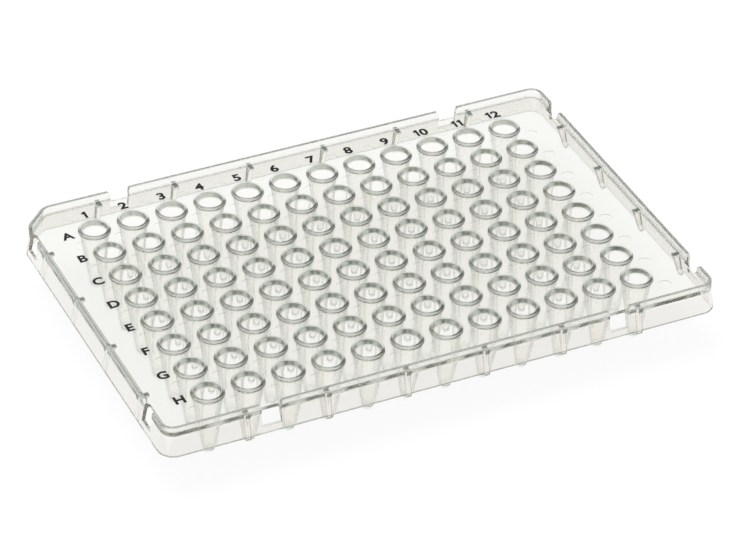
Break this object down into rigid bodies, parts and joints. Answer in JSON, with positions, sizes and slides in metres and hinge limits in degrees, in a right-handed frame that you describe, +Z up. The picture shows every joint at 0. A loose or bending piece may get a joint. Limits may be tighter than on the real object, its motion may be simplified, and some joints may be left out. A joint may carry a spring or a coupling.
{
  "type": "well plate",
  "caption": "Clear low-profile PCR plate: a flat deck of thin conical tubes with collars, a raised rim, a short notched skirt and one cut corner.",
  "frame": {"origin": "under the middle of the plate, on the plane of the tube tips that it stands on", "axes": "+X along a row of wells, from column 1 to column 12; +Y along a column, towards row A; +Z up, out of the wells' mouths"},
  "size_m": [0.1278, 0.0854, 0.0166],
  "materials": {
    "clear_polypropylene": "clear, smooth moulded polypropylene",
    "grid_ink": "black printed ink, row letters and column numbers"
  },
  "bodies": {
    "root": {"well_plate": "clear_polypropylene"}
  },
  "joints": []
}
